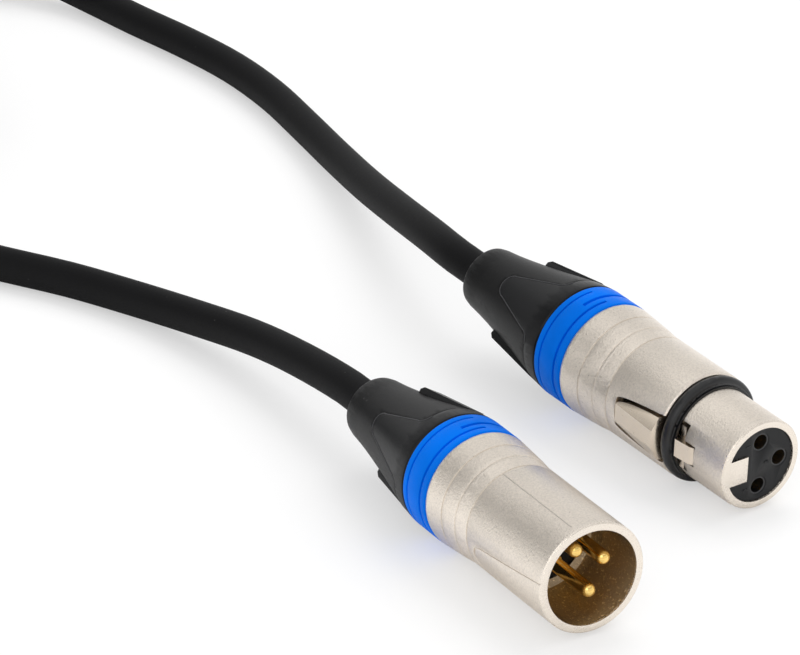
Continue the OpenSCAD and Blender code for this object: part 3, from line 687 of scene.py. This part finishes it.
def tongue_edge(sizes, step=15):
    """Half of a tongue's outline from its base to its tip: how far back and how far sideways"""
    fillet, tip = 1.8 * MM, 1.9 * MM
    edge = []
    for a in range(0, 91, step):
        turn = math.radians(a)
        edge.append((fillet * (1 - math.cos(turn)), sizes.tongue_w / 2 + fillet * (1 - math.sin(turn))))
    for n in range(1, 6):
        share = n / 6
        edge.append((
            fillet + (sizes.finger - tip - fillet) * share,
            sizes.tongue_w / 2 + (sizes.tongue_tip_w - sizes.tongue_w) / 2 * share,
        ))
    for a in range(0, 91, step):
        turn = math.radians(a)
        edge.append((sizes.finger - tip * (1 - math.sin(turn)), sizes.tongue_tip_w / 2 * math.cos(turn)))
    return edge


BEAD_RADIUS = 0.085 * MM


def tongue_bead(name, sizes, places, which, angle):
    """A fine tube along the seam round one tongue, lighter than the boot: a painted highlight on the seam's
    edge
    """
    start = getattr(sizes, which + "_length") + sizes.ring_w + sizes.collar
    half = tongue_edge(sizes)
    outline = half + [(back, -side) for back, side in reversed(half[:-1])]
    turn = Matrix.Rotation(angle, 4, "X")
    points = []
    for back, side in outline:
        r = cone_radius(sizes, back)
        points.append(turn @ Vector((-(start + back), side, math.sqrt(r * r - side * side))))
    bead = made_mesh(curve_object(name, points, BEAD_RADIUS, 2))
    seat(bead, plug_matrix(places, which))
    return bead


def soften_edges(obj, width):
    apply_modifier(obj, "BEVEL", width=width, segments=2, limit_method="ANGLE", angle_limit=math.radians(50))


def strap_band(sizes, inner, outer, low, high):
    """A band round the coil's bundle: a rounded outline pushed out across the strap, then given its wall"""
    bpy.ops.object.select_all(action="DESELECT")
    middle = ((inner + outer) / 2, 0, (low + high) / 2)
    bpy.ops.mesh.primitive_plane_add(size=1.0, location=middle, rotation=(math.radians(90), 0, 0))
    band = bpy.context.active_object
    band.scale = (outer - inner, high - low, 1.0)
    bpy.ops.object.transform_apply(location=True, rotation=True, scale=True)
    bpy.ops.object.mode_set(mode="EDIT")
    bpy.ops.mesh.select_all(action="SELECT")
    bpy.ops.mesh.bevel(offset=4 * MM, segments=8, affect="VERTICES")
    bpy.ops.mesh.select_all(action="SELECT")
    bpy.ops.transform.translate(value=(0, -sizes.tie_w / 2, 0))
    steps = 6
    for _ in range(steps):
        bpy.ops.mesh.extrude_region_move(TRANSFORM_OT_translate={"value": (0, sizes.tie_w / steps, 0)})
    bpy.ops.mesh.select_all(action="DESELECT")
    bpy.ops.object.mode_set(mode="OBJECT")
    for face in band.data.polygons:
        face.select = abs(face.normal.y) > 0.9
    bpy.ops.object.mode_set(mode="EDIT")
    bpy.ops.mesh.delete(type="FACE")
    bpy.ops.mesh.select_all(action="SELECT")
    bpy.ops.mesh.subdivide(number_cuts=1)
    bpy.ops.mesh.normals_make_consistent(inside=False)
    bpy.ops.object.mode_set(mode="OBJECT")
    ripple(band, middle[0], low)
    apply_modifier(band, "SOLIDIFY", thickness=sizes.tie_t, offset=1.0)
    soften_edges(band, 0.3 * MM)
    return band


def strap_tail(sizes, start, run, top):
    """The strap's free end, lapped flat on the band and rounded at its tip"""
    bpy.ops.object.select_all(action="DESELECT")
    bpy.ops.mesh.primitive_grid_add(
        x_subdivisions=16, y_subdivisions=6, size=1.0, location=(start + run / 2, 0, top + 0.05 * MM)
    )
    tail = bpy.context.active_object
    tail.scale = (run, sizes.tie_w - 0.6 * MM, 1.0)
    bpy.ops.object.transform_apply(location=True, rotation=True, scale=True)
    corner = sizes.tie_w / 2.4
    for vertex in tail.data.vertices:
        along = start + run - vertex.co.x
        if along < corner:
            vertex.co.y *= math.sqrt(max(0.0, 1 - ((corner - along) / corner) ** 2)) * 0.75 + 0.25
    apply_modifier(tail, "SOLIDIFY", thickness=sizes.tie_t * 0.8, offset=1.0)
    soften_edges(tail, 0.25 * MM)
    return tail


def ripple(band, centre, low):
    """Slight waves in the strap where it isn't pressed on the table"""
    for vertex in band.data.vertices:
        free = eased((vertex.co.z - low) / (6 * MM))
        wave = 0.22 * MM * free * math.sin(vertex.co.y / (2.3 * MM)) * math.sin(vertex.co.x / (5 * MM) + 1)
        vertex.co.x += wave if vertex.co.x > centre else -wave


def contact_number(name, text, sizes, matrix, face_depth, angle):
    """A small raised digit beside a contact, upright when the latch is on top"""
    data = bpy.data.curves.new(name, "FONT")
    data.body = text
    data.size = sizes.digit_h
    data.extrude = 0.08 * MM
    data.align_x = "CENTER"
    data.align_y = "CENTER"
    digit = bpy.data.objects.new(name, data)
    bpy.context.scene.collection.objects.link(digit)
    digit = made_mesh(digit)
    circle_r = sizes.contact_circle_d / 2
    aside = 2.6 * MM
    y, z = -circle_r * math.sin(angle), circle_r * math.cos(angle)
    upright = Matrix(((0, 0, 1, -face_depth), (1, 0, 0, y), (0, 1, 0, z + aside), (0, 0, 0, 1)))
    seat(digit, matrix @ upright)
    return digit


def entry_lip(name, sizes, matrix, depth, angle):
    """The rounded lip inside one female contact's chamfered entry"""
    circle_r = sizes.contact_circle_d / 2
    bpy.ops.object.select_all(action="DESELECT")
    bpy.ops.mesh.primitive_torus_add(
        major_radius=sizes.entry_d / 2 + 0.05 * MM, minor_radius=0.14 * MM,
        major_segments=48, minor_segments=12, rotation=(0, math.radians(90), 0),
        location=(-depth, -circle_r * math.sin(angle), circle_r * math.cos(angle)),
    )
    lip = bpy.context.active_object
    lip.name = name
    bpy.ops.object.transform_apply(location=True, rotation=True, scale=True)
    seat(lip, matrix)
    smooth(lip, 60)
    return lip


# ---------- operators ----------


class CABLE_OT_camera(bpy.types.Operator):
    """Set the camera at the viewing angle, close enough to see both plugs"""

    bl_idname = "cable.camera"
    bl_label = "Camera"

    def execute(self, context):
        data = bpy.data.cameras.new("camera")
        data.lens = 249.75
        data.sensor_width = 36.0
        data.clip_end = 20.0
        camera = bpy.data.objects.new("camera", data)
        camera.location = (0.67961, -0.43992, 0.42263)
        camera.rotation_euler = (math.radians(63.9957), 0.0, math.radians(58.79))
        context.scene.collection.objects.link(camera)
        context.scene.camera = camera
        return {"FINISHED"}


class CABLE_OT_tie(bpy.types.Operator):
    """Strap the coil with a hook-and-loop tie, its tail lapped over the top"""

    bl_idname = "cable.tie"
    bl_label = "Coil tie"

    def execute(self, context):
        sizes, places = context.scene.cable_sizes, context.scene.cable_places
        way = CoilWay(sizes, places)
        clear = 0.8 * MM
        swing = sizes.turn_step / 4 + sizes.cord_d / 2 + clear
        inner = sizes.coil_r - sizes.turn_step * way.layer_sweep / 360 - swing
        outer = sizes.coil_r + swing
        low = sizes.tie_t
        high = sizes.tie_t + TIE_GAP + sizes.layer_step * (LAYERS - 1) + sizes.cord_d + TIE_GAP
        strap = strap_band(sizes, inner, outer, low, high)
        tail = strap_tail(sizes, inner + 6 * MM, 16 * MM, high + sizes.tie_t)
        turn = Matrix.Translation(places.coil) @ Matrix.Rotation(places.tie, 4, "Z")
        for piece in (strap, tail):
            seat(piece, turn)
        only(strap)
        tail.select_set(True)
        bpy.ops.object.join()
        strap.name = "coil_strap"
        smooth(strap, 40)
        finish_piece(strap, finishes().strap, "tie_fabric", ROOT_BODY, "coil_tie")
        return {"FINISHED"}


class CABLE_OT_cord(bpy.types.Operator):
    """Lay the cord from the female boot, through the coil, to the male boot"""

    bl_idname = "cable.cord"
    bl_label = "Cord"

    def execute(self, context):
        sizes, places = context.scene.cable_sizes, context.scene.cable_places
        points = cord_way(sizes, places)
        cord = curve_object("cord", points, sizes.cord_d / 2, 6)
        solids = ("cable_female_lead", "cable_coil", "cable_male_lead")
        finish_piece(cord, finishes().jacket, "cord_jacket", ROOT_BODY, *solids)
        run = sum((b - a).length for a, b in zip(points, points[1:]))
        return {"FINISHED"}


class CABLE_OT_shells(bpy.types.Operator):
    """Finish the two nickel shells"""

    bl_idname = "cable.shells"
    bl_label = "Shells"

    def execute(self, context):
        for which in PLUGS:
            dress(which + "_shell", finishes().nickel[which], "nickel_shell", bevel_mm=0.06)
        return {"FINISHED"}


class CABLE_OT_coding_rings(bpy.types.Operator):
    """Finish the blue coding rings"""

    bl_idname = "cable.coding_rings"
    bl_label = "Coding rings"

    def execute(self, context):
        for which in PLUGS:
            dress(which + "_coding_ring", finishes().blue, "ring_blue", bevel_mm=0.05)
        return {"FINISHED"}


class CABLE_OT_glands(bpy.types.Operator):
    """Finish the gland nuts and soft boots, with a fine lighter tube along the seam round each tongue as its
    painted highlight
    """

    bl_idname = "cable.glands"
    bl_label = "Glands and boots"

    def execute(self, context):
        f = finishes()
        sizes, places = context.scene.cable_sizes, context.scene.cable_places
        for which in PLUGS:
            dress(which + "_gland_nut", f.gland, "gland_plastic", bevel_mm=0.1)
            dress(which + "_boot", f.boot, "boot_rubber", bevel_mm=0.05)
            for n in range(TONGUES):
                angle = getattr(places, which + "_tongue") + 2 * math.pi * n / TONGUES
                bead = tongue_bead(f"{which}_tongue_bead_{n + 1}", sizes, places, which, angle)
                finish_piece(bead, f.bead, "boot_rubber", ROOT_BODY)
        return {"FINISHED"}


class CABLE_OT_contacts(bpy.types.Operator):
    """Finish the inserts and gold contacts, and number the contacts"""

    bl_idname = "cable.contacts"
    bl_label = "Inserts and contacts"

    def execute(self, context):
        f = finishes()
        sizes, places = context.scene.cable_sizes, context.scene.cable_places
        faces = {"male": sizes.cup_depth + 0.1 * MM, "female": 0.3 * MM}
        for which, contact in (("male", "male_pin_%d"), ("female", "female_contact_%d")):
            dress(which + "_insert", f.insert, "insert_plastic")
            for n, degrees in enumerate(CONTACT_ANGLES[which], start=1):
                dress(contact % n, f.gold, "gold_contact", degrees=60)
                digit = contact_number(
                    f"{which}_number_{n}", str(n), sizes, plug_matrix(places, which), faces[which],
                    math.radians(degrees),
                )
                finish_piece(digit, f.seal, "insert_plastic", ROOT_BODY)
        # Lips in the female entries, finished lighter than the insert as a painted highlight on their rims
        for n, degrees in enumerate(CONTACT_ANGLES["female"], start=1):
            lip = entry_lip(
                f"female_entry_lip_{n}", sizes, plug_matrix(places, "female"), faces["female"] + 0.3 * MM,
                math.radians(degrees),
            )
            finish_piece(lip, f.lip, "insert_plastic", ROOT_BODY)
        return {"FINISHED"}


class CABLE_OT_latch(bpy.types.Operator):
    """Finish the latch with its pivot and spring"""

    bl_idname = "cable.latch"
    bl_label = "Latch"

    def execute(self, context):
        dress(
            "female_latch", finishes().bright, "latch_metal", bevel_mm=0.12, degrees=20,
            body=LATCH_BODY, reshape=steepen_tab,
        )
        for node in ("female_latch_pin", "female_latch_spring"):
            paint(node, finishes().bright)
        return {"FINISHED"}


class CABLE_OT_seal(bpy.types.Operator):
    """Finish the sealing ring behind the female nose"""

    bl_idname = "cable.seal"
    bl_label = "Sealing ring"

    def execute(self, context):
        dress("female_seal", finishes().seal, "seal_rubber", degrees=60)
        return {"FINISHED"}


class CABLE_OT_inside(bpy.types.Operator):
    """Finish what lies inside the plugs: clamps, jacket ends, cores and earth tabs"""

    bl_idname = "cable.inside"
    bl_label = "Inside the plugs"

    def execute(self, context):
        f = finishes()
        inner = {"ground_tab": f.bright, "chuck": f.chuck, "jacket": f.jacket, "core_hot": f.red,
                 "core_cold": f.white, "core_screen": f.grey}
        for which in PLUGS:
            for part, material in inner.items():
                paint(f"{which}_{part}", material)
        return {"FINISHED"}


def lamp(name, spot, size, power, mirrored):
    """A square lamp that looks at the origin"""
    data = bpy.data.lights.new(name, "AREA")
    data.shape = "SQUARE"
    data.size = size
    data.energy = power
    obj = bpy.data.objects.new(name, data)
    obj.location = spot
    obj.rotation_euler = (-Vector(spot)).to_track_quat("-Z", "Y").to_euler()
    obj.visible_glossy = mirrored
    bpy.context.scene.collection.objects.link(obj)


def world_node(tree, kind, values, operation=None):
    """Adds a node to the world: its sockets, by place or by name, take plain values or other outputs"""
    new = tree.nodes.new(kind)
    if operation:
        new.operation = operation
    for key, value in values.items():
        if isinstance(value, bpy.types.NodeSocket):
            tree.links.new(value, new.inputs[key])
        else:
            new.inputs[key].default_value = value
    return new


def mirrored_level(tree):
    """How bright the surround looks to metal: the strip, dimmed where the flag stands"""
    direction = tree.nodes.new("ShaderNodeTexCoord").outputs["Generated"]
    height = world_node(tree, "ShaderNodeSeparateXYZ", {0: direction}).outputs["Z"]
    strip = world_node(tree, "ShaderNodeValToRGB", {0: height})
    stops = strip.color_ramp.elements
    stops[0].position = STRIP[0][0]
    for index, (position, level) in enumerate(STRIP):
        stop = stops[0] if index == 0 else stops.new(position)
        stop.color = (level, level, level, 1.0)
    way = Vector(FLAG_WAY).normalized()
    toward = world_node(tree, "ShaderNodeVectorMath", {0: direction, 1: way}, "DOT_PRODUCT").outputs["Value"]
    first, last = FLAG_EDGE
    edge = {"Value": toward, "From Min": first, "From Max": last, "To Min": 1.0, "To Max": FLAG_LEVEL}
    flag = world_node(tree, "ShaderNodeMapRange", edge).outputs[0]
    return world_node(tree, "ShaderNodeMath", {0: strip.outputs[0], 1: flag}, "MULTIPLY").outputs[0]


def studio_world():
    """White round about, plainer for soft surfaces, with a dim strip and a flag for metal to mirror"""
    world = bpy.data.worlds.new("studio")
    bpy.context.scene.world = world
    world.use_nodes = True
    tree = world.node_tree
    background = tree.nodes["Background"]
    background.inputs["Color"].default_value = (1.0, 1.0, 1.0, 1.0)
    rays = tree.nodes.new("ShaderNodeLightPath").outputs
    mirrored = mirrored_level(tree)
    unseen = world_node(tree, "ShaderNodeMix", {0: rays["Is Glossy Ray"], 2: SOFT_LEVEL, 3: mirrored})
    seen = world_node(
        tree, "ShaderNodeMath", {0: rays["Is Camera Ray"], 1: rays["Is Transmission Ray"]}, "MAXIMUM"
    )
    level = world_node(tree, "ShaderNodeMix", {0: seen.outputs[0], 2: unseen.outputs[0], 3: 1.0})
    tree.links.new(level.outputs[0], background.inputs["Strength"])


class CABLE_OT_stage(bpy.types.Operator):
    """Lay the pale table and set the soft lights"""

    bl_idname = "cable.stage"
    bl_label = "Stage"

    def execute(self, context):
        bpy.ops.object.select_all(action="DESELECT")
        bpy.ops.mesh.primitive_plane_add(size=8.0)
        table = context.active_object
        table.name = "table"
        r = Recipe("table_white", Roughness=0.9)
        r.shader.inputs["Specular IOR Level"].default_value = 0.0
        r.set(Base_Color=tuple(context.scene.cable_colours.table))
        glow = r.tree.nodes.new("ShaderNodeEmission")
        mix = r.tree.nodes.new("ShaderNodeMixShader")
        rays = r.node("ShaderNodeLightPath", output="Is Camera Ray")
        r.fill(mix.inputs[0], TABLE_GLOW * rays)
        r.tree.links.new(r.shader.outputs[0], mix.inputs[1])
        r.tree.links.new(glow.outputs[0], mix.inputs[2])
        output = r.tree.nodes["Material Output"]
        r.tree.links.new(mix.outputs[0], output.inputs["Surface"])
        table.data.materials.append(r.material)
        lamp("key_light", (-0.35, 0.75, 1.25), size=1.1, power=9.0, mirrored=False)
        lamp("side_light", (0.9, -1.1, 0.9), size=0.9, power=3.0, mirrored=True)
        studio_world()
        context.scene.view_settings.view_transform = "Standard"
        return {"FINISHED"}


class CABLE_PT_panel(bpy.types.Panel):
    """Lists the pieces of the cable and what a user would change"""

    bl_label = "Microphone cable"
    bl_idname = "CABLE_PT_panel"
    bl_space_type = "VIEW_3D"
    bl_region_type = "UI"
    bl_category = "Cable"

    def draw(self, context):
        for operator in OPERATORS:
            self.layout.operator(operator.bl_idname)
        for group in (context.scene.cable_sizes, context.scene.cable_places, context.scene.cable_colours):
            for name in group.__annotations__:
                self.layout.prop(group, name)


OPERATORS = (
    CABLE_OT_camera, CABLE_OT_tie, CABLE_OT_cord, CABLE_OT_shells, CABLE_OT_coding_rings, CABLE_OT_glands,
    CABLE_OT_contacts, CABLE_OT_latch, CABLE_OT_seal, CABLE_OT_inside, CABLE_OT_stage,
)
CLASSES = (CABLE_PG_sizes, CABLE_PG_places, CABLE_PG_colours, *OPERATORS, CABLE_PT_panel)


def register():
    for cls in CLASSES:
        bpy.utils.register_class(cls)
    bpy.types.Scene.cable_sizes = bpy.props.PointerProperty(type=CABLE_PG_sizes)
    bpy.types.Scene.cable_places = bpy.props.PointerProperty(type=CABLE_PG_places)
    bpy.types.Scene.cable_colours = bpy.props.PointerProperty(type=CABLE_PG_colours)


def unregister():
    del bpy.types.Scene.cable_sizes
    del bpy.types.Scene.cable_places
    del bpy.types.Scene.cable_colours
    for cls in reversed(CLASSES):
        bpy.utils.unregister_class(cls)


def main():
    register()
    for operator in OPERATORS:
        group, name = operator.bl_idname.split(".")
        getattr(getattr(bpy.ops, group), name)()


if __name__ == "__main__":
    main()
